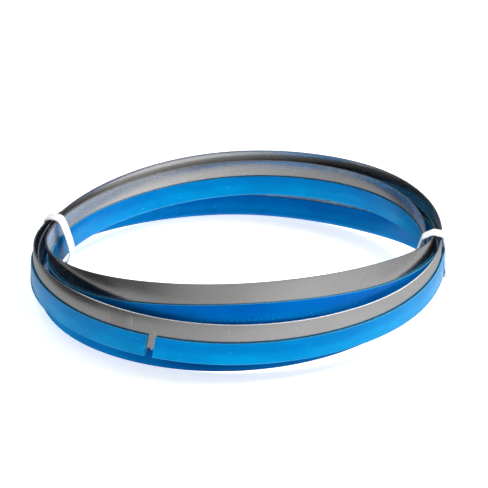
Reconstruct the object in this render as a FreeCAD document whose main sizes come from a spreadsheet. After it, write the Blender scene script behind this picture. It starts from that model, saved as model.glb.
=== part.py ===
"""Band saw blade: one toothed steel loop folded into three turns, in its plastic edge guard and straps.

Millimetres, +Z up. The origin is the middle of the coil on the surface that it lies on. The band is one
endless strip. A folded band can't bend in its own plane, so its width follows the binormal of its centre
line, and each turn leans where the turn climbs or falls.
"""
import FreeCAD, Part
import math
import os
from FreeCAD import Base, Vector

TURNS = 3
STATIONS_PER_TURN = 8
SECTIONS_PER_TURN = 32
PANELS_PER_TURN = 8

# How high up a strap its slack bulges, as a share of its height
STRAP_SLACK_SHARE = 0.45

# Driving dimensions, in millimetres, degrees or turns
SIZES = [
    ("band_length", 1440),
    ("band_width", 13),
    ("band_thickness", 0.65),
    ("tooth_pitch", 2.117),
    ("tooth_depth", 0.9),
    ("guard_wall", 0.65),
    ("guard_slot", 1.1),
    ("guard_web", 1),
    ("guard_height", 8.6),
    ("guard_seat", 0.3),
    ("guard_gap", 3.2),
    ("guard_gap_slant", 1.6),
    ("guard_gap_turn", 0.9398),
    ("turn_play", 0.3),
    ("strap_width", 6.3),
    ("strap_thickness", 0.8),
    ("strap_play", 0.25),
    ("strap_slack", 1.6),
    ("strap_left_angle", 166),
    ("strap_right_angle", -6),
]

# Where the centre line runs, eight stations to a turn, from the front and counter-clockwise from above:
# how far out it is, in steps of one guard's width; how high, in steps of one guarded band; and how far
# the guard stands off the teeth beyond its seat, in millimetres
FOLD = [
    # First turn: high at the front, then down to the floor at the back
    (0.11, 1.37, 1.5),
    (-0.57, 1.26, 2.3),
    (-0.14, 0.71, 0.2),
    (0.34, 0.13, 0.3),
    (1.17, 0.0, 0.3),
    (0.78, 0.21, 1.8),
    (0.72, 0.41, 0.4),
    (0.76, 0.47, 1.4),
    # Second turn: low and outermost at the front, then over the first turn at the back
    (1.57, 0.45, 1.1),
    (1.15, 0.55, 0.7),
    (0.84, 0.8, 0.1),
    (1.62, 0.99, 0.1),
    (0.44, 1.01, 0.1),
    (-0.7, 0.71, 1.4),
    (-0.17, 0.27, 2.3),
    (-0.21, 0.0, 0.4),
    # Third turn: on the floor at the front, then innermost as it climbs back to the start
    (-0.09, 0.06, 0.2),
    (-0.93, 0.44, 1.9),
    (-1.38, 0.76, 0.2),
    (-0.92, 0.88, 0.6),
    (-1.15, 0.8, 1.2),
    (-1.91, 0.56, 0.9),
    (-1.59, 0.51, 0.6),
    (-1.31, 0.93, 2.4),
]


def make_sheet(doc):
    """Puts the driving dimensions in a spreadsheet, each with its alias."""
    sheet = doc.addObject("Spreadsheet::Sheet", "Sizes")
    for row, (alias, value) in enumerate(SIZES, start=1):
        sheet.set("A%d" % row, alias)
        sheet.set("B%d" % row, str(value))
        sheet.setAlias("B%d" % row, alias)
    doc.recompute()
    return sheet


doc = FreeCAD.newDocument("BandSawBlade")
sizes = make_sheet(doc)

guard_width = sizes.guard_slot + 2 * sizes.guard_wall
turn_step = guard_width + sizes.turn_play
stack_height = sizes.band_width + sizes.guard_web + sizes.guard_seat + sizes.turn_play
coil_radius = sizes.band_length / (2 * math.pi * TURNS)
half_width = sizes.band_width / 2
half_band = sizes.band_thickness / 2
floor_lift = half_width + sizes.guard_seat + sizes.guard_web


def turn_angle(turn):
    """The angle round the coil at a place on the band, given in turns from the front."""
    return 2 * math.pi * turn - math.pi / 2


def spline(points, places, closed):
    """A smooth curve through the points, each at its place along the band, in turns."""
    curve = Part.BSplineCurve()
    curve.interpolate(Points=points, Parameters=places, PeriodicFlag=closed)
    return curve


def station_point(place, out, lift):
    """One station of the centre line."""
    radius = coil_radius + out * turn_step
    angle = turn_angle(place)
    return Vector(radius * math.cos(angle), radius * math.sin(angle), floor_lift + lift * stack_height)


def fold_spline(point_at):
    """A smooth curve through the stations, run on by a turn past both ends so that it closes smoothly."""
    rows = range(-STATIONS_PER_TURN, len(FOLD) + STATIONS_PER_TURN + 1)
    places = [row / STATIONS_PER_TURN for row in rows]
    points = [point_at(place, *FOLD[row % len(FOLD)]) for place, row in zip(places, rows)]
    return spline(points, places, False)


centre_line = fold_spline(lambda place, out, lift, rise: station_point(place, out, lift))
guard_rise = fold_spline(lambda place, out, lift, rise: Vector(place, 0, rise))


def frame_at(place):
    """The centre point, the outward normal and the width direction of the band at a place."""
    place = place % TURNS
    along = centre_line.getDN(place, 1)
    bend = centre_line.getDN(place, 2)
    width = along.cross(bend).normalize()
    outward = along.cross(width).normalize()
    return centre_line.value(place), outward, width


def guard_bottom(place):
    """How far the guard's underside lies above the band's middle, so a negative height."""
    rise = guard_rise.value(place % TURNS).z
    return -half_width - sizes.guard_seat - sizes.guard_web - rise


def at_section(place, outward_by, up_by):
    """A point of the section at a place, from how far out and how far up it is."""
    centre, outward, width = frame_at(place)
    return centre + outward * outward_by + width * up_by


def lowest_point():
    """The height of the lowest point under the guard all the way round."""
    wide = guard_width / 2
    places = [k / SECTIONS_PER_TURN for k in range(TURNS * SECTIONS_PER_TURN)]
    return min(at_section(place, side * wide, guard_bottom(place)).z for place in places for side in (1, -1))


centre_line.translate(Vector(0, 0, -lowest_point()))


def band_solid():
    """The endless band: two toothed sides, the back edge and the tooth flanks, sewn into one solid."""
    count = TURNS * SECTIONS_PER_TURN
    places = [TURNS * k / count for k in range(count + 1)]

    def rail(outward_by, up_by):
        points = [at_section(place, outward_by, up_by) for place in places[:-1]]
        return spline(points, places, True)

    teeth = round(sizes.band_length / sizes.tooth_pitch)
    teeth_per_panel = max(1, round(teeth / (TURNS * PANELS_PER_TURN)))
    pitch = TURNS / teeth
    root = 1 - sizes.tooth_depth / sizes.band_width

    def side(outward_by):
        back = rail(outward_by, half_width).toShape()
        tips = rail(outward_by, -half_width).toShape()
        return Part.makeRuledSurface(back, tips).Surface

    def edge_on(surface, start, end):
        line = Part.Geom2d.Line2dSegment(Base.Vector2d(*start), Base.Vector2d(*end))
        return line.toShape(surface)

    sides = [side(half_band), side(-half_band)]
    faces = []
    for first in range(0, teeth, teeth_per_panel):
        last = min(first + teeth_per_panel, teeth)
        corners = [(first * pitch, 0), (last * pitch, 0)]
        for tooth in range(last, first, -1):
            corners += [(tooth * pitch, root), ((tooth - 1) * pitch, 1)]
        corners += [(first * pitch, root)]
        loops = []
        for surface in sides:
            loop = [edge_on(surface, a, b) for a, b in zip(corners, corners[1:] + corners[:1])]
            loops.append(loop)
            faces.append(Part.Face(surface, Part.Wire(loop)))
        joined = [0] + list(range(2, len(corners) - 1))
        faces += [Part.makeRuledSurface(loops[0][k], loops[1][k]) for k in joined]
    return sewn_solid(faces)


def sewn_solid(faces):
    """One solid from faces that share their edges."""
    shell = Part.makeShell(faces)
    shell.sewShape(0.001)
    solid = Part.makeSolid(Part.Shell(shell.Faces))
    if solid.Volume < 0:
        solid.reverse()
    return solid


def guard_solid():
    """The edge guard: a U strip over the teeth, cut on a slant so that its ends stop short of each other."""
    turn_length = sizes.band_length / TURNS
    half_gap = sizes.guard_gap / 2 / turn_length
    start = sizes.guard_gap_turn + half_gap
    finish = sizes.guard_gap_turn + TURNS - half_gap
    spare = SECTIONS_PER_TURN // PANELS_PER_TURN
    first = math.floor(start * SECTIONS_PER_TURN) - spare
    last = math.ceil(finish * SECTIONS_PER_TURN) + spare
    places = [k / SECTIONS_PER_TURN for k in range(first, last + 1)]
    wide = guard_width / 2
    slot = sizes.guard_slot / 2
    outline = [(wide, sizes.guard_height), (wide, 0), (-wide, 0), (-wide, sizes.guard_height)]
    outline += [(-slot, sizes.guard_height), (-slot, sizes.guard_web)]
    outline += [(slot, sizes.guard_web), (slot, sizes.guard_height)]

    def rail(out, up):
        curve = spline([at_section(p, out, guard_bottom(p) + up) for p in places], places, False)
        slant = sizes.guard_gap_slant * (up / sizes.guard_height - 0.5) / turn_length
        curve.segment(start + slant, finish + slant)
        return curve

    rails = [rail(out, up) for out, up in outline]
    edges = [curve.toShape() for curve in rails]
    faces = [Part.makeRuledSurface(a, b) for a, b in zip(edges, edges[1:] + edges[:1])]
    for corners in ([curve.StartPoint for curve in rails], [curve.EndPoint for curve in rails]):
        outside = [Part.makeLine(a, b) for a, b in zip(corners[:3], corners[1:4])]
        inside = [Part.makeLine(a, b) for a, b in zip(corners[:4:-1], corners[6:3:-1])]
        faces += [Part.makeRuledSurface(a, b) for a, b in zip(outside, inside)]
    return sewn_solid(faces)


def strap_outline(angle):
    """The hollow outline of a strap in the upright plane through the coil at an angle, in degrees.

    Its inside is the rounded hull of the three turns, with slack on the side of the coil's middle.
    """
    facing = math.radians(angle)
    outward = Vector(math.cos(facing), math.sin(facing), 0)
    reach = sizes.strap_width / 2 / coil_radius / (2 * math.pi)
    middle = (angle / 360 + 0.25) % 1
    points = []
    for turn in range(TURNS):
        for place in (middle + turn - reach, middle + turn, middle + turn + reach):
            bottom = guard_bottom(place % TURNS)
            corners = [at_section(place, side * half_band, half_width) for side in (1, -1)]
            corners += [at_section(place, side * guard_width / 2, bottom + up)
                        for side in (1, -1) for up in (0, sizes.guard_height)]
            points += [(corner.dot(outward), corner.z) for corner in corners]
    inmost = min(out for out, up in points)
    lowest = min(up for out, up in points)
    highest = max(up for out, up in points)
    slack_height = (highest - lowest) * STRAP_SLACK_SHARE
    points.append((inmost - sizes.strap_slack, lowest + slack_height))
    hull = convex_hull(points)
    wire = Part.makePolygon([outward * out + Vector(0, 0, up) for out, up in hull + hull[:1]])
    inside = wire.makeOffset2D(sizes.strap_play, join=2)
    outside = wire.makeOffset2D(sizes.strap_play + sizes.strap_thickness, join=2)
    return Part.Face(outside).cut(Part.Face(inside)), outward


def convex_hull(points):
    """The corners of the tightest outline round the points, in order."""
    ordered = sorted(set(points))

    def half(run):
        kept = []
        for point in run:
            while len(kept) > 1 and turn_of(kept[-2], kept[-1], point) <= 0:
                kept.pop()
            kept.append(point)
        return kept[:-1]

    return half(ordered) + half(reversed(ordered))


def turn_of(first, second, third):
    """Twice the signed area of three points: positive where they turn to the left."""
    return ((second[0] - first[0]) * (third[1] - first[1])
            - (second[1] - first[1]) * (third[0] - first[0]))


def add_solid(label, shape):
    """A feature of the document that carries a finished shape."""
    feature = doc.addObject("Part::Feature", label)
    feature.Label = label
    feature.Shape = shape
    feature.Placement = FreeCAD.Placement()
    return feature


def add_strap(label, angle):
    """A strap: its hollow outline, extruded along the band by the strap's width."""
    face, outward = strap_outline(angle)
    outline = add_solid(label + "_outline", face)
    strap = doc.addObject("Part::Extrusion", label)
    strap.Label = label
    strap.Base = outline
    strap.DirMode = "Custom"
    strap.Dir = Vector(0, 0, 1).cross(outward)
    strap.Solid = True
    strap.Symmetric = True
    strap.setExpression("LengthFwd", "Sizes.strap_width")
    return strap


pieces = [
    add_solid("saw_band", band_solid()),
    add_solid("tooth_guard", guard_solid()),
    add_strap("strap_left", sizes.strap_left_angle),
    add_strap("strap_right", sizes.strap_right_angle),
]
doc.recompute()

for item in doc.Objects:
    if "Invalid" in item.State or "Error" in item.State:
        raise RuntimeError(item.Name + " failed to recompute")
for piece in pieces:
    if piece.Shape.isNull() or not piece.Shape.isValid():
        raise RuntimeError(piece.Label + " has no valid shape")

os.makedirs("parts", exist_ok=True)
for piece in pieces:
    piece.Shape.exportStep("parts/" + piece.Label + ".step")
    print(piece.Label, "volume", round(piece.Shape.Volume, 1), "box", piece.Shape.BoundBox)
print("length of the band's centre line", round(centre_line.length(0, TURNS), 1))
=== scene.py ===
"""The looks of a band saw blade: one toothed steel loop folded into three turns, in its guard and straps.

Metres, +Z up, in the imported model's frame. Each surface is a grid of points, one way along the band and
the other way round a section, so that each finish follows the steel, the plastic and the straps.
"""
import logging
import math
from dataclasses import dataclass, field
from enum import Enum
from typing import Mapping, Optional, Sequence, Union

import bpy
import numpy as np
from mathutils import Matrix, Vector

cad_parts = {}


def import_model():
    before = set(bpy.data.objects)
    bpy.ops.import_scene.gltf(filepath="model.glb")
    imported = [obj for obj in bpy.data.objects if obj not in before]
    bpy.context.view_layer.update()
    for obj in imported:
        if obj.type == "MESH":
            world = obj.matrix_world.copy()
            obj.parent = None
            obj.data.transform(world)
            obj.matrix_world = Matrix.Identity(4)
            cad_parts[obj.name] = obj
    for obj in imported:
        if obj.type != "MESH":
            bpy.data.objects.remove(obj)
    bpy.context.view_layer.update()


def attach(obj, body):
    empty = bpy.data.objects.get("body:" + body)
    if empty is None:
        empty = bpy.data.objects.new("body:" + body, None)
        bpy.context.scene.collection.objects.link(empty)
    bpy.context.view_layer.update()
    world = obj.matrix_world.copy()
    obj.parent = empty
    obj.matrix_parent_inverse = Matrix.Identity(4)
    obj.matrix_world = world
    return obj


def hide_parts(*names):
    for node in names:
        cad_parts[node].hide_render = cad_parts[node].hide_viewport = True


LOG = logging.getLogger("band_saw_blade")
MM = 0.001
TURNS = 3
STATIONS_PER_TURN = 8
SECTIONS_PER_TURN = 32

# What the band's lay adds to the height of a point on its inner side, so that a finish can tell the sides
INNER_LAY = 50 * MM

# Where the centre line runs, eight stations to a turn, from the front and counter-clockwise from above:
# steps of one guard's width outwards, steps of one guarded band upwards, and how far the guard stands
# off the teeth beyond its seat, in millimetres
FOLD = np.array([
    # First turn: high at the front, then down to the floor at the back
    (0.11, 1.37, 1.5), (-0.57, 1.26, 2.3), (-0.14, 0.71, 0.2), (0.34, 0.13, 0.3),
    (1.17, 0.0, 0.3), (0.78, 0.21, 1.8), (0.72, 0.41, 0.4), (0.76, 0.47, 1.4),
    # Second turn: low and outermost at the front, then over the first turn at the back
    (1.57, 0.45, 1.1), (1.15, 0.55, 0.7), (0.84, 0.8, 0.1), (1.62, 0.99, 0.1),
    (0.44, 1.01, 0.1), (-0.7, 0.71, 1.4), (-0.17, 0.27, 2.3), (-0.21, 0.0, 0.4),
    # Third turn: on the floor at the front, then innermost as it climbs back to the start
    (-0.09, 0.06, 0.2), (-0.93, 0.44, 1.9), (-1.38, 0.76, 0.2), (-0.92, 0.88, 0.6),
    (-1.15, 0.8, 1.2), (-1.91, 0.56, 0.9), (-1.59, 0.51, 0.6), (-1.31, 0.93, 2.4),
])


class Slot(Enum):
    """The record's material slots."""

    STEEL = "band_steel"
    GUARD = "guard_plastic"
    STRAP = "strap_plastic"


class PeriodicSpline:
    """A closed cubic curve through rows of numbers that are evenly spaced along it."""

    def __init__(self, rows: np.ndarray, period: float) -> None:
        """Solves for the curve's second derivatives at its rows.

        Args:
            rows: One row of coordinates for each knot.
            period: The length of the closed parameter.
        """
        count = len(rows)
        self.rows = rows
        self.step = period / count
        ring = 4 * np.eye(count) + np.roll(np.eye(count), 1, 0) + np.roll(np.eye(count), -1, 0)
        bend = 6 * (np.roll(rows, -1, 0) - 2 * rows + np.roll(rows, 1, 0)) / self.step ** 2
        self.bend = np.linalg.solve(ring, bend)

    def at(self, places: np.ndarray, order: int = 0) -> np.ndarray:
        """The curve or one of its derivatives.

        Each stretch is the straight line between two knots plus a cubic term for the bend at each knot.

        Args:
            places: Parameters on the curve; they may run past its period.
            order: 0 for the point, 1 for the slope and 2 for the bend.

        Returns:
            One row for each place.
        """
        spans = np.asarray(places, float) / self.step
        knot = np.floor(spans).astype(int)
        late = (spans - knot)[..., None]
        early = 1 - late
        count = len(self.rows)
        start, end = self.rows[knot % count], self.rows[(knot + 1) % count]
        start_bend, end_bend = self.bend[knot % count], self.bend[(knot + 1) % count]
        if order == 2:
            return early * start_bend + late * end_bend
        if order == 1:
            sway = (1 - 3 * early ** 2) * start_bend + (3 * late ** 2 - 1) * end_bend
            return (end - start) / self.step + self.step / 6 * sway
        sway = (early ** 3 - early) * start_bend + (late ** 3 - late) * end_bend
        return early * start + late * end + self.step ** 2 / 6 * sway


def unit(rows: np.ndarray) -> np.ndarray:
    """Each row at a length of one."""
    return rows / np.linalg.norm(rows, axis=-1, keepdims=True)


@dataclass(frozen=True)
class BandSizes:
    """The steel band, in metres."""

    length: float = 1440 * MM
    width: float = 13 * MM
    thickness: float = 0.65 * MM
    tooth_pitch: float = 2.117 * MM
    tooth_depth: float = 0.9 * MM
    tooth_set: float = 0.13 * MM
    edge_round: float = 0.13 * MM
    weld_turn: float = 0.9138

    @property
    def teeth(self) -> int:
        """How many teeth go round the loop."""
        return round(self.length / self.tooth_pitch)


@dataclass(frozen=True)
class GuardSizes:
    """The plastic edge guard, in metres; the gap's place is in turns."""

    wall: float = 0.65 * MM
    slot: float = 1.1 * MM
    web: float = 1.0 * MM
    height: float = 8.6 * MM
    seat: float = 0.3 * MM
    gap: float = 3.2 * MM
    gap_slant: float = 1.6 * MM
    gap_turn: float = 0.9398
    corner: float = 0.55 * MM
    lip: float = 0.16 * MM

    @property
    def width(self) -> float:
        """The whole width over both walls."""
        return self.slot + 2 * self.wall


@dataclass
class Fold:
    """The path of the folded band and the directions across it, all the way round its three turns."""

    band: BandSizes = field(default_factory=BandSizes)
    guard: GuardSizes = field(default_factory=GuardSizes)
    turn_play: float = 0.3 * MM

    def __post_init__(self) -> None:
        """Works out the path, its sections and how high it lies.

        The band's width follows the binormal of its centre line: the cross product of its slope and bend.
        """
        band, guard = self.band, self.guard
        out, lift, rise = FOLD.T
        angle = 2 * np.pi * np.arange(len(FOLD)) / STATIONS_PER_TURN - np.pi / 2
        radius = band.length / (2 * np.pi * TURNS) + out * (guard.width + self.turn_play)
        low = band.width / 2 + guard.seat + guard.web
        height = low + lift * (band.width + guard.web + guard.seat + self.turn_play)
        line = PeriodicSpline(np.stack([radius * np.cos(angle), radius * np.sin(angle), height], 1), TURNS)
        rises = PeriodicSpline(rise[:, None] * MM, TURNS)
        places = np.arange(TURNS * SECTIONS_PER_TURN) / SECTIONS_PER_TURN
        slope, bend = line.at(places, 1), line.at(places, 2)
        across = unit(np.cross(slope, bend))
        outward = unit(np.cross(slope, across))
        under = -(low + rises.at(places)) * across
        centre = line.at(places)
        corners = centre + under + np.array([[[0.5]], [[-0.5]]]) * guard.width * outward
        centre[:, 2] -= corners[..., 2].min()
        self.centre = PeriodicSpline(centre, TURNS)
        self.outward = PeriodicSpline(outward, TURNS)
        self.across = PeriodicSpline(across, TURNS)
        self.under = PeriodicSpline(under, TURNS)

    def on_band(self, places: np.ndarray, out: np.ndarray, up: np.ndarray) -> np.ndarray:
        """Points of sections that are measured from the band's own middle.

        Args:
            places: Where each point is along the band, in turns from the front, as a grid or one column.
            out: How far outwards each point of a section is.
            up: How far towards the back edge each point is.

        Returns:
            A grid of points, one row of it for each section.
        """
        return (self.centre.at(places) + out[..., None] * self.outward.at(places)
                + up[..., None] * self.across.at(places))

    def on_guard(self, places: np.ndarray, out: np.ndarray, up: np.ndarray) -> np.ndarray:
        """Points of sections that are measured from the guard's underside, as on_band does."""
        return self.on_band(places, out, up) + self.under.at(places)


@dataclass
class Grid:
    """A grid of points with its own lay: how far along and how far round each point is, in metres."""

    points: np.ndarray
    along: np.ndarray
    around: np.ndarray
    loops: bool = False

    def faces(self) -> tuple[np.ndarray, np.ndarray]:
        """Joins the grid into four-sided faces, closed round each section and, for a loop, along it too.

        Returns:
            The corners of each face, and the lay of each of those corners.
        """
        columns, rows = self.points.shape[:2]
        steps = columns if self.loops else columns - 1
        column, row = np.meshgrid(np.arange(steps), np.arange(rows), indexing="ij")
        column, row = column.ravel(), row.ravel()
        over = np.stack([column, column, column + 1, column + 1], 1)
        round_it = np.stack([row, row + 1, row + 1, row], 1)
        corners = (over % columns) * rows + round_it % rows
        return corners, np.stack([self.along[over], self.around[round_it]], -1)


def closed_mesh(name: str, grid: Grid, caps: bool = False, sharp: float = 40.0) -> bpy.types.Object:
    """Makes a closed tube from a grid, with its lay as a UV map.

    A cap joins the outer half of a section to its inner half by a strip of faces: point k goes with the
    point that is k from the section's other end.

    Args:
        name: The object's name.
        grid: The grid and its lay.
        caps: Whether the ends of the tube get caps.
        sharp: The angle, in degrees, above which an edge stays sharp.

    Returns:
        The new object, linked to the scene.
    """
    corners, lay = grid.faces()
    columns, rows = grid.points.shape[:2]
    if caps:
        near = np.arange(rows // 2 - 1)
        strip = np.stack([near, near + 1, rows - 2 - near, rows - 1 - near], 1)
        ends = np.concatenate([strip[:, ::-1], strip + (columns - 1) * rows])
        shape = np.concatenate([grid.around[strip[:, ::-1]], grid.around[strip]])
        reach = np.repeat([grid.along[0], grid.along[-1]], len(strip))[:, None] * np.ones(4)
        corners = np.concatenate([corners, ends])
        lay = np.concatenate([lay, np.stack([reach, shape], -1)])
    mesh = bpy.data.meshes.new(name)
    mesh.vertices.add(columns * rows)
    mesh.vertices.foreach_set("co", grid.points.reshape(-1).astype(np.float32))
    mesh.loops.add(corners.size)
    mesh.loops.foreach_set("vertex_index", corners.reshape(-1).astype(np.int32))
    mesh.polygons.add(len(corners))
    mesh.polygons.foreach_set("loop_start", (4 * np.arange(len(corners))).astype(np.int32))
    mesh.update(calc_edges=True)
    layer = mesh.uv_layers.new(name="lay")
    layer.data.foreach_set("uv", lay.reshape(-1).astype(np.float32))
    mesh.polygons.foreach_set("use_smooth", np.ones(len(corners), bool))
    mesh.set_sharp_from_angle(angle=math.radians(sharp))
    mesh.validate()
    made = bpy.data.objects.new(name, mesh)
    bpy.context.scene.collection.objects.link(made)
    return made


Value = Union[float, "Wire"]


@dataclass(frozen=True)
class Pattern:
    """Fractal noise: its scale along and round a surface, per metre, its finer layers and their strength."""

    along: float
    around: float
    detail: float = 2.0
    rough: float = 0.5


class Wire:
    """One output of a node tree, on which arithmetic adds Math nodes."""

    def __init__(self, tree: "Tree", socket: bpy.types.NodeSocket) -> None:
        """Keeps the tree and the socket that the value comes from."""
        self.tree = tree
        self.socket = socket

    def math(self, operation: str, *others: Value) -> "Wire":
        """A Math node on this value and others.

        Args:
            operation: The Math node's operation.
            others: The values after this one.

        Returns:
            The node's result.
        """
        return self.tree.node("ShaderNodeMath", {"operation": operation}, dict(enumerate((self, *others))))

    def __add__(self, other: Value) -> "Wire":
        """This value plus another."""
        return self.math("ADD", other)

    def __radd__(self, other: Value) -> "Wire":
        """Another value plus this one."""
        return self.math("ADD", other)

    def __sub__(self, other: Value) -> "Wire":
        """This value less another."""
        return self.math("SUBTRACT", other)

    def __rsub__(self, other: float) -> "Wire":
        """A number less this value."""
        return self.tree.node("ShaderNodeMath", {"operation": "SUBTRACT"}, {0: other, 1: self})

    def __mul__(self, other: Value) -> "Wire":
        """This value times another."""
        return self.math("MULTIPLY", other)

    def __truediv__(self, other: Value) -> "Wire":
        """This value over another."""
        return self.math("DIVIDE", other)

    def near(self, middle: float, half: float, soft: float) -> "Wire":
        """A mask that is one up to half away from the middle, and fades to nothing over a soft distance."""
        return (self - middle).math("ABSOLUTE").between(half + soft, half)

    def between(self, none: float, full: float) -> "Wire":
        """A smooth step from nothing at one value to one at another."""
        return self.tree.node("ShaderNodeMapRange", {"interpolation_type": "SMOOTHSTEP"},
                              {"Value": self, "From Min": none, "From Max": full})


class Tree:
    """The nodes of a material or of the world, made one at a time."""

    def __init__(self, nodes: bpy.types.NodeTree) -> None:
        """Empties the node tree."""
        self.nodes = nodes
        self.nodes.nodes.clear()

    def node(self, kind: str, settings: Optional[Mapping[str, object]] = None,
             inputs: Optional[Mapping[Union[str, int], object]] = None, output: int = 0) -> Wire:
        """Adds a node.

        Args:
            kind: The node's type.
            settings: Its settings, set first; stops are a ramp's places and colours.
            inputs: The values or wires of its sockets, by name or number.
            output: Which output to return.

        Returns:
            That output as a wire; for a node without outputs, its first input.
        """
        made = self.nodes.nodes.new(kind)
        for name, value in (settings or {}).items():
            if name == "stops":
                self.set_stops(made.color_ramp, value)
            else:
                setattr(made, name, value)
        for name, value in (inputs or {}).items():
            if isinstance(value, Wire):
                self.nodes.links.new(value.socket, made.inputs[name])
            else:
                made.inputs[name].default_value = value
        return Wire(self, made.outputs[output]) if made.outputs else Wire(self, made.inputs[0])

    def set_stops(self, ramp: bpy.types.ColorRamp, stops: Sequence[tuple]) -> None:
        """Gives a colour ramp its stops.

        Args:
            ramp: The ramp.
            stops: Each stop's place, and its colour or its level of grey, in order.
        """
        while len(ramp.elements) < len(stops):
            ramp.elements.new(0.5)
        for element, (place, colour) in zip(ramp.elements, stops):
            element.position = place
            element.color = (*np.broadcast_to(colour, 3).tolist(), 1.0)

    def ramp(self, factor: Wire, stops: Sequence[tuple]) -> Wire:
        """The colour of a ramp at a value."""
        return self.node("ShaderNodeValToRGB", {"stops": stops}, {0: factor})

    def mix(self, factor: Value, first: object, second: object) -> Wire:
        """A colour between two others.

        Args:
            factor: How much of the second shows.
            first: A colour or a wire.
            second: A colour or a wire.

        Returns:
            The mixed colour.
        """
        return self.node("ShaderNodeMix", {"data_type": "RGBA"}, {0: factor, 6: first, 7: second}, 2)

    def tint(self, colour: Wire, other: Wire) -> Wire:
        """A colour multiplied by another."""
        return self.node("ShaderNodeMix", {"data_type": "RGBA", "blend_type": "MULTIPLY"},
                         {0: 1.0, 6: colour, 7: other}, 2)

    def lay(self) -> tuple[Wire, Wire]:
        """The distances along and round the surface, in metres."""
        found = self.node("ShaderNodeUVMap", {"uv_map": "lay"})
        along, around = self.split(found)[:2]
        return along, around

    def split(self, vector: Wire) -> list[Wire]:
        """The three parts of a vector."""
        first = self.node("ShaderNodeSeparateXYZ", None, {0: vector})
        return [Wire(self, output) for output in first.socket.node.outputs]

    def noise(self, along: Wire, around: Wire, pattern: Pattern) -> Wire:
        """Fractal noise over the surface.

        Args:
            along: The distance along it.
            around: The distance round it.
            pattern: The noise's scales and layers.

        Returns:
            Values about one half.
        """
        spot = self.node("ShaderNodeCombineXYZ", None, {0: along * pattern.along, 1: around * pattern.around})
        return self.node("ShaderNodeTexNoise", {"noise_dimensions": "2D"}, {
            "Vector": spot, "Scale": 1.0, "Detail": pattern.detail, "Roughness": pattern.rough,
        })

    def bump(self, height: Wire, strength: float, distance: float) -> Wire:
        """A Bump node on a height.

        Args:
            height: The height, from nothing to one.
            strength: How much of it shows.
            distance: How far one stands out, in metres.

        Returns:
            The bent normal.
        """
        return self.node("ShaderNodeBump", None, {
            "Height": height, "Strength": strength, "Distance": distance,
        })

    def surface(self, inputs: Mapping[str, object]) -> None:
        """Ends the tree in a Principled shader.

        Args:
            inputs: The shader's values and wires, by name.
        """
        shader = self.node("ShaderNodeBsdfPrincipled", None, inputs)
        self.node("ShaderNodeOutputMaterial", None, {"Surface": shader})


def new_material(name: str) -> tuple[bpy.types.Material, Tree]:
    """A material of that name and its empty tree."""
    made = bpy.data.materials.new(name)
    made.use_nodes = True
    return made, Tree(made.node_tree)


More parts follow.
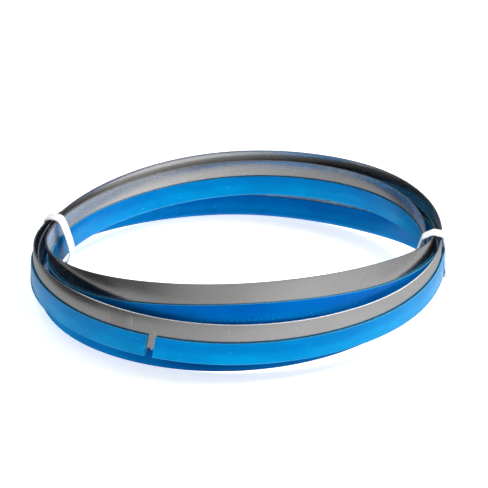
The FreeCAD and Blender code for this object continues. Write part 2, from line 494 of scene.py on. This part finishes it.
@dataclass(frozen=True)
class SteelFinish:
    """Rolled spring steel: fine lines along it, a ground weld, a painted edge highlight and a few nicks."""

    colour: tuple = (0.46, 0.455, 0.46, 1.0)
    lighter: tuple = (0.54, 0.535, 0.535, 1.0)
    # Painted reflection of the lit table on the back turns' inner side
    brighter: tuple = (0.80, 0.77, 0.73, 1.0)
    # Painted highlight on the back edge
    edge_highlight: tuple = (1.0, 1.0, 1.0, 1.0)
    scratch: tuple = (0.85, 0.85, 0.85, 1.0)
    milled: tuple = (0.52, 0.52, 0.53, 1.0)
    weld_tint: tuple = (0.30, 0.28, 0.25, 1.0)
    weld_half: float = 2.2 * MM
    roughness: float = 0.25
    grain: Pattern = Pattern(260.0, 9000.0, 3.0, 0.6)
    mottle: Pattern = Pattern(900.0, 900.0, 2.0, 0.7)
    cloud: Pattern = Pattern(40.0, 110.0)
    grinding: Pattern = Pattern(5200.0, 160.0, 2.0, 0.6)
    blots: Pattern = Pattern(1400.0, 900.0, 2.0, 0.6)

    # Painted reflection of the lit table: how much its inner side is brightened, by the share of the loop
    # that is past the weld: on the back turns, which see the lit table between the front ones
    gleam: tuple = ((0.17, 0.0), (0.185, 0.6), (0.195, 1.0), (0.225, 1.0), (0.236, 0.8), (0.246, 0.3),
                    (0.28, 0.0), (0.43, 0.0), (0.44, 0.8), (0.47, 0.0), (0.54, 0.1), (0.56, 0.45),
                    (0.60, 0.65), (0.625, 0.8), (0.635, 0.0))

    # Painted highlight on the back edge: how far past the weld the edge is still fully bright and no
    # longer bright, and how far before it the edge is not yet bright and fully so
    highlight_after: tuple = (95 * MM, 165 * MM)
    highlight_before: tuple = (30 * MM, 5 * MM)

    # Each nick's place past the weld, its lowest and highest point across the band, and its half-width,
    # in millimetres
    nicks: tuple = ((5.4, 1.3, 4.6, 0.11), (0.0, -0.6, 0.9, 0.04), (14.3, -0.4, 0.8, 0.08),
                    (40.5, 3.4, 5.6, 0.03))

    # The dark stain's place past the weld, its half-length and its height across the band, in millimetres
    stain: tuple = (-48.6, 1.4, -0.1)
    stain_tint: tuple = (0.10, 0.10, 0.12, 1.0)

    def material(self, sizes: BandSizes) -> bpy.types.Material:
        """Builds the material.

        Args:
            sizes: The band's sizes, for where its teeth, its edges and its weld are.

        Returns:
            The material.
        """
        made, tree = new_material("rolled_spring_steel")
        along, up = tree.lay()
        grain = tree.noise(along, up, self.grain)
        mottle = tree.noise(along, up, self.mottle)
        cloud = tree.noise(along, up, self.cloud)
        shade = grain * 0.45 + mottle * 0.2 + cloud * 0.35
        colour = tree.mix(shade.between(0.3, 0.7), self.colour, self.lighter)

        heat = self.weld_heat(along, sizes)
        grinding = tree.noise(along, up, self.grinding)
        colour = tree.mix(heat * 0.35, colour, self.weld_tint)
        colour = tree.mix(heat * grinding.between(0.56, 0.72) * 0.35, colour, self.milled)

        # Painted reflection of the lit table on the back turns' inner side
        gleam = self.painted_inner_reflection(tree, along, up, sizes)
        colour = tree.mix(gleam, colour, self.brighter)
        # Painted highlight along the back edge
        edge = self.painted_edge_highlight(along, up, sizes)
        colour = tree.mix(edge, colour, self.edge_highlight)

        stain = self.stained(along, up, sizes) * tree.noise(along, up, self.blots).between(0.5, 0.6)
        colour = tree.mix(stain, colour, self.stain_tint)
        marks = self.marks(along, up, sizes)
        colour = tree.mix(marks, colour, self.scratch)
        root = -sizes.width / 2 + sizes.tooth_depth
        teeth = up.between(root + 0.5 * MM, root - 0.1 * MM)
        colour = tree.mix(teeth * 0.6, colour, self.milled)

        roughness = self.roughness + (grain - 0.5) * 0.16 + (cloud - 0.5) * 0.1 + marks * 0.15
        height = grain * 0.7 + mottle * 0.3 + heat * grinding * 0.8 - marks * 1.5
        tree.surface({
            # Less metal where the reflection and the edge highlight are painted, so that their colour shows
            "Base Color": colour, "Metallic": 1.0 - gleam * 0.5 - edge, "Roughness": roughness,
            "Anisotropic": 0.35, "Normal": tree.bump(height, 0.2, 0.006 * MM),
        })
        return made

    def weld_heat(self, along: Wire, sizes: BandSizes) -> Wire:
        """A mask of the weld, at both ends of the lay."""
        start, end = (along.near(place, self.weld_half, 2.5 * MM) for place in (0.0, sizes.length))
        return start.math("MAXIMUM", end)

    def painted_inner_reflection(self, tree: Tree, along: Wire, up: Wire, sizes: BandSizes) -> Wire:
        """How much painted reflection each point gets, on the inner side alone and short of its back edge."""
        top = INNER_LAY + sizes.width / 2
        gleam = tree.ramp(along / sizes.length, self.gleam)
        inner = up.between(INNER_LAY / 2, INNER_LAY / 2 + 5 * MM)
        return gleam * inner * up.between(top - 0.2 * MM, top - 0.9 * MM)

    def painted_edge_highlight(self, along: Wire, up: Wire, sizes: BandSizes) -> Wire:
        """A mask of the painted highlight on the back edge, on both sides of the weld."""
        (full, none), (far, close) = self.highlight_after, self.highlight_before
        reach = along.between(none, full) + along.between(sizes.length - far, sizes.length - close)
        top = sizes.width / 2
        inner = up.between(INNER_LAY + top - 0.1 * MM, INNER_LAY + top)
        outer = up.between(top - 0.1 * MM, top - 0.02 * MM) * up.between(top + 3.5 * MM, top + 1.5 * MM)
        return (inner + outer) * reach

    def stained(self, along: Wire, up: Wire, sizes: BandSizes) -> Wire:
        """A mask of the stain's patch on the outer side."""
        place, half, height = (value * MM for value in self.stain)
        return along.near(sizes.length + place, half, 0.5 * MM) * up.near(height, 0.5 * MM, 0.3 * MM)

    def marks(self, along: Wire, up: Wire, sizes: BandSizes) -> Wire:
        """A mask of the nicks, each a thin upright line on the outer side."""
        masks = []
        for nick in self.nicks:
            place, low, high, half = (value * MM for value in nick)
            line = along.near(place % sizes.length, half, 0.05 * MM)
            masks.append(line * up.near((low + high) / 2, (high - low) / 2, 0.5 * MM))
        total = masks[0]
        for mask in masks[1:]:
            total = total.math("MAXIMUM", mask)
        return total


@dataclass(frozen=True)
class GuardFinish:
    """Clear blue plastic, drawn to length: glossy, with faint draw lines and dust.

    It is lighter below the teeth, where no steel stands behind it and painted light comes up through it,
    and it carries painted shade where other turns stand behind it.
    """

    colour: tuple = (0.0, 0.37, 0.90, 1.0)
    # Lighter below the teeth: clear of the steel, with painted light coming up through the plastic
    clear_and_lit: tuple = (0.0, 0.48, 1.0, 1.0)
    clean: tuple = (1.0, 1.0, 1.0, 1.0)
    cloudy: tuple = (1.0, 0.86, 0.92, 1.0)
    # Painted highlight along the underside
    underside: tuple = (0.12, 0.60, 1.0, 1.0)
    # Painted highlight along the top of the lip
    rim_highlight: tuple = (0.10, 0.55, 0.85, 1.0)
    dust: tuple = (0.45, 0.65, 0.85, 1.0)
    glint: tuple = (0.0, 0.4, 1.0, 1.0)
    tip: tuple = (0.01, 0.37, 1.0, 1.0)
    roughness: float = 0.16
    drawn: Pattern = Pattern(60.0, 2600.0)
    cloud: Pattern = Pattern(55.0, 150.0)
    specks: Pattern = Pattern(1500.0, 1500.0, 1.0, 0.4)

    # How high above the underside the tips of the teeth show through, and the middle of the stretch where
    # they do, by the share of the loop that is past the guard's start
    tip_height: float = 2.75 * MM
    tip_place: float = 0.685

    # What the rounded corners take off each half of the way under the guard
    corner_cut: float = 0.05 * MM

    # Painted shade: how much red, green and blue is left on its outer side and on its inner side, by the
    # same share: less where other turns stand behind it and shade it
    outer_painted_shade: tuple = ((0.0, (1.0, 0.98, 1.0)), (0.085, (1.0, 0.94, 0.92)), (0.12, 1.0), (0.292, 1.0),
                          (0.315, (1.0, 0.66, 0.80)), (0.345, (1.0, 0.22, 0.36)), (0.41, (1.0, 0.6, 0.7)),
                          (0.45, 1.0), (0.63, 1.0), (0.68, (1.0, 0.54, 0.86)), (0.725, (1.0, 0.60, 0.88)),
                          (0.76, (1.0, 0.7, 0.8)), (0.80, 1.0), (0.88, 1.0), (0.93, (1.0, 0.86, 0.86)))
    inner_painted_shade: tuple = ((0.06, 1.0), (0.10, (1.0, 0.16, 0.16)), (0.22, (1.0, 0.3, 0.3)),
                          (0.28, (1.0, 0.4, 0.4)), (0.30, 1.0), (0.41, 1.0), (0.435, (1.0, 0.62, 0.60)),
                          (0.48, (1.0, 0.84, 0.88)), (0.53, (1.0, 0.92, 0.92)), (0.58, (1.0, 0.72, 0.80)),
                          (0.60, (1.0, 0.3, 0.3)), (0.63, 1.0), (0.74, 1.0), (0.79, (1.0, 0.64, 0.74)),
                          (0.87, (1.0, 0.60, 0.76)), (0.91, 1.0))

    def material(self, fold: Fold) -> bpy.types.Material:
        """Builds the material.

        The lay runs down the outer side, under the guard and up the inner side, then through the slot.

        Args:
            fold: The fold, for how high each point of the guard is and where it is along the loop.

        Returns:
            The material.
        """
        sizes, pitch = fold.guard, fold.band.tooth_pitch
        made, tree = new_material("clear_blue_guard")
        along, around = tree.lay()
        loop = along / fold.band.length - sizes.gap_turn / TURNS
        half_under = sizes.width / 2 - self.corner_cut
        under = sizes.height + half_under
        up = (around - under).math("ABSOLUTE") - half_under
        drawn = tree.noise(along, around, self.drawn)
        cloud = tree.noise(along, around, self.cloud)
        specks = tree.noise(along, around, self.specks).between(0.82, 0.86)

        # Painted light: lighter towards the underside, where light comes up through the plastic
        colour = tree.mix((up + cloud * 1.2 * MM).between(6.4 * MM, 3.6 * MM), self.colour, self.clear_and_lit)
        # Painted highlight along the underside
        colour = tree.mix(up.between(0.7 * MM, 0.1 * MM) * 0.4, colour, self.underside)
        colour = tree.tint(colour, tree.mix(cloud.between(0.35, 0.65), self.clean, self.cloudy))
        inward = around.between(under - 0.4 * MM, under + 0.4 * MM)
        # Painted shade where other turns stand behind the guard
        painted_shades = [tree.ramp(loop, stops) for stops in (self.outer_painted_shade, self.inner_painted_shade)]
        colour = tree.tint(colour, tree.mix(inward, *painted_shades))

        # Painted highlight along the top of the lip
        rim_highlight = up.between(sizes.height - 0.35 * MM, sizes.height - 0.1 * MM)
        colour = tree.mix(rim_highlight * 0.9, colour, self.rim_highlight)
        tips = along.math("PINGPONG", pitch / 2).between(0.36 * pitch, 0.2 * pitch)
        row = up.near(self.tip_height, 0.25 * MM, 0.3 * MM) * loop.near(self.tip_place, 0.06, 0.03)
        colour = tree.mix(tips * row * 0.85, colour, self.tip)
        colour = tree.mix(specks * 0.5, colour, self.dust)
        roughness = self.roughness + (drawn - 0.5) * 0.1 + specks * 0.3 + (cloud - 0.5) * 0.08
        tree.surface({
            "Base Color": colour, "Roughness": roughness, "Transmission Weight": 0.3, "IOR": 1.47,
            "Specular Tint": self.glint, "Normal": tree.bump(drawn, 0.25, 0.02 * MM),
        })
        return made


@dataclass(frozen=True)
class StrapFinish:
    """White strapping: smooth plastic with faint lines along it."""

    colour: tuple = (0.97, 0.97, 0.98, 1.0)
    shaded: tuple = (0.92, 0.92, 0.94, 1.0)
    roughness: float = 0.34
    lines: Pattern = Pattern(120.0, 3400.0)
    cloud: Pattern = Pattern(200.0, 260.0)

    def material(self) -> bpy.types.Material:
        """Builds the material."""
        made, tree = new_material("white_strapping")
        along, around = tree.lay()
        lines = tree.noise(along, around, self.lines)
        cloud = tree.noise(along, around, self.cloud)
        colour = tree.mix((lines * 0.6 + cloud * 0.4).between(0.35, 0.7), self.colour, self.shaded)
        tree.surface({
            "Base Color": colour, "Roughness": self.roughness + (cloud - 0.5) * 0.15,
            "Subsurface Weight": 0.15, "Subsurface Scale": 1.0 * MM, "IOR": 1.49,
            "Normal": tree.bump(lines, 0.4, 0.03 * MM),
        })
        return made


@dataclass
class SawBand:
    """The toothed steel loop."""

    fold: Fold
    finish: SteelFinish = field(default_factory=SteelFinish)

    # One tooth from tip to tip: how far along its pitch each point is and how deep its gullet is there
    tooth: tuple = ((0.0, 0.0), (0.14, 0.10), (0.45, 0.52), (0.70, 0.90), (0.86, 1.0), (0.975, 0.93))

    def edge_line(self) -> tuple[np.ndarray, np.ndarray, np.ndarray]:
        """The toothed edge, tooth after tooth from the weld.

        The teeth lean in a set of three: outwards, inwards and upright.

        Returns:
            How far along the loop each point is, from nothing to one, its depth as a share of the
            gullet's, and which way its tooth leans.
        """
        teeth = self.fold.band.teeth
        across, depth = np.array(self.tooth).T
        along = (np.arange(teeth)[:, None] + across) / teeth
        lean = np.tile(np.array([1.0, -1.0, 0.0])[np.arange(teeth) % 3][:, None], len(across))
        return along.ravel(), np.tile(depth, teeth), lean.ravel()

    def grid(self) -> Grid:
        """The band's surface: back edge, outer side, toothed edge and inner side.

        Its lay ends one millimetre past the inner side, across the back edge.
        """
        sizes = self.fold.band
        along, depth, lean = self.edge_line()
        start = round(sizes.weld_turn / TURNS * sizes.teeth) / sizes.teeth
        half, wide, soft = sizes.thickness / 2, sizes.width / 2, sizes.edge_round
        edge = -wide + sizes.tooth_depth * depth
        root = -wide + sizes.tooth_depth
        side_out = [half - soft, half - 0.3 * soft, half, half, half, half]
        side_up = [wide, wide - 0.3 * soft, wide - soft, 0.0, root + 0.35 * MM, root]
        out = np.tile(np.array(side_out + [-value for value in side_out[::-1]]), (len(along), 1))
        up = np.tile(np.array(side_up + side_up[::-1]), (len(along), 1))
        leaning = sizes.tooth_set * lean * (1 - depth) ** 1.2
        for row in (5, 6):
            up[:, row] = edge
            out[:, row] += leaning
        inner_lay = [height + INNER_LAY for height in side_up[::-1]]
        lay = np.array(side_up + inner_lay + [inner_lay[-1] + 1 * MM])
        points = self.fold.on_band((along + start)[:, None] * TURNS, out, up)
        return Grid(points, np.append(along, 1.0) * sizes.length, lay, loops=True)

    def build(self) -> bpy.types.Object:
        """Makes the band, in place of its CAD node."""
        made = closed_mesh("toothed_band", self.grid(), sharp=35.0)
        made.data.materials.append(self.finish.material(self.fold.band))
        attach(made, "root")
        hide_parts("saw_band")
        return made


@dataclass
class ToothGuard:
    """The plastic channel on the toothed edge."""

    fold: Fold
    finish: GuardFinish = field(default_factory=GuardFinish)
    columns: int = 640

    def profile(self) -> tuple[np.ndarray, np.ndarray]:
        """The channel's section: down its outer side, under it and up again, then back through its slot.

        Each corner is a quarter of a circle.

        Returns:
            How far out and how far up each point is.
        """
        sizes = self.fold.guard
        half, slot, top = sizes.width / 2, sizes.slot / 2, sizes.height
        turn = np.linspace(0, np.pi / 2, 5)
        levels = np.array([0.98, 0.66, 0.33])
        outer = np.concatenate([
            [(half - sizes.lip, top), (half - 0.3 * sizes.lip, top - 0.3 * sizes.lip)],
            np.stack([np.full(3, half), levels * (top - sizes.lip)], 1),
            np.stack([half - sizes.corner * (1 - np.cos(turn)), sizes.corner * (1 - np.sin(turn))], 1),
        ])
        bend = 0.4 * slot
        inner = np.concatenate([
            [(slot + sizes.lip, top), (slot + 0.3 * sizes.lip, top - 0.3 * sizes.lip)],
            np.stack([np.full(3, slot), levels * (top - sizes.lip)], 1),
            np.stack([slot - bend * (1 - np.cos(turn)), sizes.web + bend * (1 - np.sin(turn))], 1),
        ])
        flip = np.array([-1, 1])
        section = np.concatenate([outer, outer[::-1] * flip, inner * flip, inner[::-1]])
        return section[:, 0], section[:, 1]

    def grid(self) -> Grid:
        """The guard's surface, from one end at its gap to the other."""
        sizes = self.fold.guard
        turn_length = self.fold.band.length / TURNS
        half_gap = sizes.gap / 2 / turn_length
        places = np.linspace(sizes.gap_turn + half_gap, sizes.gap_turn + TURNS - half_gap, self.columns)
        out, up = self.profile()
        slant = sizes.gap_slant * (up / sizes.height - 0.5) / turn_length
        points = self.fold.on_guard(places[:, None] + slant, out, up)
        runs = np.hypot(np.diff(np.append(out, out[0])), np.diff(np.append(up, up[0])))
        around = np.concatenate([[0.0], np.cumsum(runs)])
        return Grid(points, places * turn_length, around)

    def build(self) -> bpy.types.Object:
        """Makes the guard, in place of its CAD node."""
        made = closed_mesh("edge_guard", self.grid(), caps=True)
        made.data.materials.append(self.finish.material(self.fold))
        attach(made, "root")
        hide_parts("tooth_guard")
        return made


@dataclass
class Strap:
    """A flat strap round the three turns, its end lapped over its start on the outer side.

    The angle is in degrees from the right, counter-clockwise from above. The slack is how far inwards the
    strap hangs off the turns, at its share of their height. The skew is how far along the turns it strays
    for each metre outwards, and the softness is how wide its bends are, in degrees.
    """

    fold: Fold
    node: str
    finish: bpy.types.Material
    angle: float
    slack: float
    skew: float
    softness: float
    width: float = 6.3 * MM
    thickness: float = 0.6 * MM
    play: float = 0.28 * MM
    lap_play: float = 0.05 * MM
    slack_share: float = 0.45
    lap: float = 0.13
    lap_start: float = -0.2
    lap_climb: float = 0.1
    columns: int = 260
    directions: int = 720

    def hull_points(self) -> np.ndarray:
        """The turns' corners at the strap, as how far out and how high each is, with the slack point.

        Places on the fold start at the front, a quarter of a turn before the angle's start at the right.
        """
        guard, band = self.fold.guard, self.fold.band
        reach = self.width / 2 / band.length * TURNS
        middle = (self.angle / 360 + 0.25) % 1
        places = (middle + np.arange(TURNS)[:, None] + np.array([-reach, 0.0, reach])).reshape(-1, 1)
        sides = np.array([0.5, -0.5, 0.5, -0.5])
        backs = self.fold.on_band(places, sides[:2] * band.thickness, np.full(2, band.width / 2))
        walls = self.fold.on_guard(places, sides * guard.width, guard.height * np.array([0, 0, 1, 1]))
        corners = np.concatenate([backs.reshape(-1, 3), walls.reshape(-1, 3)])
        flat = np.stack([corners @ self.facing(), corners[:, 2]], 1)
        low, high = flat[:, 1].min(), flat[:, 1].max()
        slack = (flat[:, 0].min() - self.slack, low + (high - low) * self.slack_share)
        return np.concatenate([flat, [slack]])

    def facing(self) -> np.ndarray:
        """The direction from the coil's middle to the strap."""
        angle = math.radians(self.angle)
        return np.array([math.cos(angle), math.sin(angle), 0.0])

    def outline(self, turns: np.ndarray) -> np.ndarray:
        """The strap's inner line round the turns.

        The reach of the turns in each direction, blurred over a few degrees and then pushed out until it
        clears them again, is a support function: the point at a direction is the reach along it plus the
        reach's slope along its tangent.

        Args:
            turns: Directions, in turns from straight outwards.

        Returns:
            A row of out and up for each direction.
        """
        count = self.directions
        angle = 2 * np.pi * np.arange(count) / count
        rays = np.stack([np.cos(angle), np.sin(angle)], 1)
        reach = (self.hull_points() @ rays.T).max(0)
        blur = np.exp(-0.5 * (np.fft.fftfreq(count, 1 / count) * math.radians(self.softness)) ** 2)
        smooth = np.fft.ifft(np.fft.fft(reach) * blur).real
        smooth += (reach - smooth).max() + self.play
        support = PeriodicSpline(smooth[:, None], 1.0)
        facing = 2 * np.pi * turns
        ray = np.stack([np.cos(facing), np.sin(facing)], 1)
        tangent = np.stack([-np.sin(facing), np.cos(facing)], 1)
        return ray * support.at(turns) + tangent * support.at(turns, 1) / (2 * np.pi)

    def grid(self) -> Grid:
        """The strap's surface: a thin section with round edges, carried once round and over its start.

        The line moves outwards by one thickness as it comes round, so that its end lies on its start.
        """
        turns = np.linspace(self.lap_start, self.lap_start + 1.0 + self.lap, self.columns)
        line = self.outline(turns)
        step = 1e-3
        along = unit(self.outline(turns + step) - self.outline(turns - step))
        normal = np.stack([along[:, 1], -along[:, 0]], 1)
        late = np.clip((turns - self.lap_start - 1.0) / self.lap_climb + 1.0, 0.0, 1.0)
        lift = late * late * (3 - 2 * late) * (self.thickness + self.lap_play)
        arc = np.linspace(-np.pi / 2, np.pi / 2, 5)
        half, flat = self.thickness / 2, self.width / 2 - self.thickness / 2
        side = np.concatenate([-flat - half * np.cos(arc), flat + half * np.cos(arc)])
        rise = np.concatenate([half + half * np.sin(arc), half - half * np.sin(arc)])
        depth = lift[:, None] + rise
        out = line[:, :1] + normal[:, :1] * depth
        up = line[:, 1:] + normal[:, 1:] * depth
        facing = self.facing()
        beside = np.cross([0.0, 0.0, 1.0], facing)
        middle = (line[:, 0].min() + line[:, 0].max()) / 2
        swing = self.skew * (out - middle)
        points = (out[..., None] * facing + (side + swing)[..., None] * beside
                  + up[..., None] * np.array([0.0, 0.0, 1.0]))
        steps = np.linalg.norm(np.diff(line, axis=0), axis=1)
        return Grid(points, np.concatenate([[0.0], np.cumsum(steps)]), np.append(side, side[0]) + 20 * MM)

    def build(self) -> bpy.types.Object:
        """Makes the strap, in place of its CAD node."""
        made = closed_mesh(self.node + "_tape", self.grid(), caps=True)
        made.data.materials.append(self.finish)
        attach(made, "root")
        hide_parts(self.node)
        return made


@dataclass(frozen=True)
class Lamp:
    """A soft white area lamp: where it is, its size in metres and its power in watts."""

    place: tuple
    size: float
    power: float


@dataclass
class Studio:
    """The white table, the lamps and the camera, none of them part of the object."""

    target: tuple = (2.65 * MM, 0.0, 18.74 * MM)
    elevation: float = 22.27
    turn: float = -0.94
    distance: float = 778.6 * MM
    focal_px: float = 2017.0
    frame_px: float = 488.0
    sensor: float = 36.0
    table: float = 3.0
    table_glow: float = 0.64
    lamps: tuple = (
        Lamp((0.6, 0.3, 0.9), 0.7, 15.0),
        Lamp((-0.5, 0.7, 0.9), 0.7, 4.0),
    )

    # What is dark in gloss, a little below the table's top: the radii of the shade under the coil, and the
    # near corner and the far one of the sheet on the left
    shade: tuple = (66 * MM, 86 * MM)
    dark_side: tuple = ((-0.138, -0.09), (-1.6, 1.2))
    shade_depth: float = 0.1 * MM
    shade_points: int = 96

    # The directions in which the table and the room beyond it are brightest, in degrees from the front
    # towards the right, and how bright each is from the side opposite that one round to it
    near_side: float = 70.0
    far_side: float = 50.0
    near_light: tuple = ((0.0, 0.50), (0.18, 0.48), (0.5, 0.60), (0.82, 0.84), (1.0, 0.92))
    far_light: tuple = ((0.33, 0.14), (0.5, 0.42), (0.67, 0.50), (0.82, 0.58), (0.93, 0.72), (1.0, 0.84))
    overhead: tuple = (0.3, 0.3, 0.31, 1.0)

    # How steep the view is where the table gives way to the room, and the room to its ceiling
    horizon: tuple = (-0.25, -0.12)
    ceiling: tuple = (0.25, 0.7)

    def add_table(self) -> None:
        """Lays a wide white table under the coil, as a mesh of one face."""
        mesh = bpy.data.meshes.new("table_top")
        reach = self.table
        corners = [(-reach, -reach, 0.0), (reach, -reach, 0.0), (reach, reach, 0.0), (-reach, reach, 0.0)]
        mesh.from_pydata(corners, [], [(0, 1, 2, 3)])
        top = bpy.data.objects.new("table_top", mesh)
        bpy.context.scene.collection.objects.link(top)
        made, tree = new_material("white_table")
        tree.surface({"Base Color": (0.93, 0.93, 0.94, 1.0), "Roughness": 0.6,
                      "Emission Color": (1.0, 1.0, 1.0, 1.0), "Emission Strength": self.table_glow})
        mesh.materials.append(made)
        top.visible_glossy = False

    def add_shades(self) -> None:
        """Lays what gloss alone sees as dark: a ring under the coil, and a sheet for the room on the left."""
        count = self.shade_points
        angle = 2 * np.pi * np.arange(count) / count
        circle = np.stack([np.cos(angle), np.sin(angle), np.zeros(count)], 1)
        ring = np.concatenate([circle * self.shade[0], circle * self.shade[1]])
        strips = [(k, count + k, count + (k + 1) % count, (k + 1) % count) for k in range(count)]
        (near_x, near_y), (far_x, far_y) = self.dark_side
        sheet = [(far_x, near_y, 0.0), (near_x, near_y, 0.0), (near_x, far_y, 0.0), (far_x, far_y, 0.0)]
        made, tree = new_material("shaded_table")
        tree.surface({"Base Color": (0.02, 0.02, 0.025, 1.0), "Roughness": 0.9})
        for name, points, faces in (("coil_shade", ring, strips), ("side_shade", sheet, [(0, 1, 2, 3)])):
            mesh = bpy.data.meshes.new(name)
            mesh.from_pydata([tuple(point) for point in points], [], faces)
            mesh.materials.append(made)
            shade = bpy.data.objects.new(name, mesh)
            shade.location.z = -self.shade_depth
            bpy.context.scene.collection.objects.link(shade)
            shade.visible_camera = False
            shade.visible_diffuse = False
            shade.visible_shadow = False
            shade.visible_transmission = False

    def add_sky(self) -> None:
        """Lights the room by direction: brightest on the right, darkest behind the left and dim overhead.

        What lies below the horizon shows only in gloss, in place of the table, which gloss doesn't see.
        """
        world = bpy.data.worlds.new("studio_room")
        world.use_nodes = True
        bpy.context.scene.world = world
        tree = Tree(world.node_tree)
        across, depth, height = tree.split(tree.node("ShaderNodeTexCoord"))
        lights = []
        for side, stops in ((self.near_side, self.near_light), (self.far_side, self.far_light)):
            heading = math.radians(side)
            toward = across * math.sin(heading) - depth * math.cos(heading)
            lights.append(tree.ramp((toward + 1.0) * 0.5, stops))
        light = tree.mix(height.between(*self.horizon), *lights)
        light = tree.mix(height.between(*self.ceiling), light, self.overhead)
        background = tree.node("ShaderNodeBackground", None, {"Color": light, "Strength": 1.0})
        tree.node("ShaderNodeOutputWorld", None, {"Surface": background})

    def add_lamps(self) -> None:
        """Hangs each lamp, turned to the coil and unseen in its gloss."""
        for number, lamp in enumerate(self.lamps):
            light = bpy.data.lights.new(f"soft_lamp_{number}", "AREA")
            light.size = lamp.size
            light.energy = lamp.power
            made = bpy.data.objects.new(light.name, light)
            made.location = lamp.place
            made.visible_glossy = False
            aim = Vector(self.target) - made.location
            made.rotation_euler = aim.to_track_quat("-Z", "Y").to_euler()
            bpy.context.scene.collection.objects.link(made)

    def add_camera(self) -> None:
        """Places the camera at the photograph's angle and distance."""
        tilt, turn = math.radians(self.elevation), math.radians(self.turn)
        forward = Vector((math.sin(turn) * math.cos(tilt), math.cos(turn) * math.cos(tilt), -math.sin(tilt)))
        lens = bpy.data.cameras.new("photo_camera")
        lens.sensor_width = self.sensor
        lens.lens = self.focal_px / self.frame_px * self.sensor
        lens.clip_start = 0.01
        made = bpy.data.objects.new("photo_camera", lens)
        made.location = Vector(self.target) - forward * self.distance
        made.rotation_euler = forward.to_track_quat("-Z", "Y").to_euler()
        bpy.context.scene.collection.objects.link(made)
        bpy.context.scene.camera = made

    def build(self) -> None:
        """Sets the whole stage, with plain tone mapping so that white stays white."""
        self.add_table()
        self.add_shades()
        self.add_sky()
        self.add_lamps()
        self.add_camera()
        bpy.context.scene.view_settings.view_transform = "Standard"


def main() -> None:
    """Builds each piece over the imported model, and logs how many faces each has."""
    logging.basicConfig(level=logging.INFO, format="%(message)s")
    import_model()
    Studio().build()
    fold = Fold()
    strapping = StrapFinish().material()
    pieces = [
        SawBand(fold),
        ToothGuard(fold),
        Strap(fold, "strap_left", strapping, angle=166.9, slack=1.55 * MM, skew=-0.69, softness=8.0),
        Strap(fold, "strap_right", strapping, angle=-6.7, slack=2.0 * MM, skew=0.25, softness=1.5),
    ]
    for piece in pieces:
        made = piece.build()
        LOG.info("%s: %d faces", made.name, len(made.data.polygons))


if __name__ == "__main__":
    main()
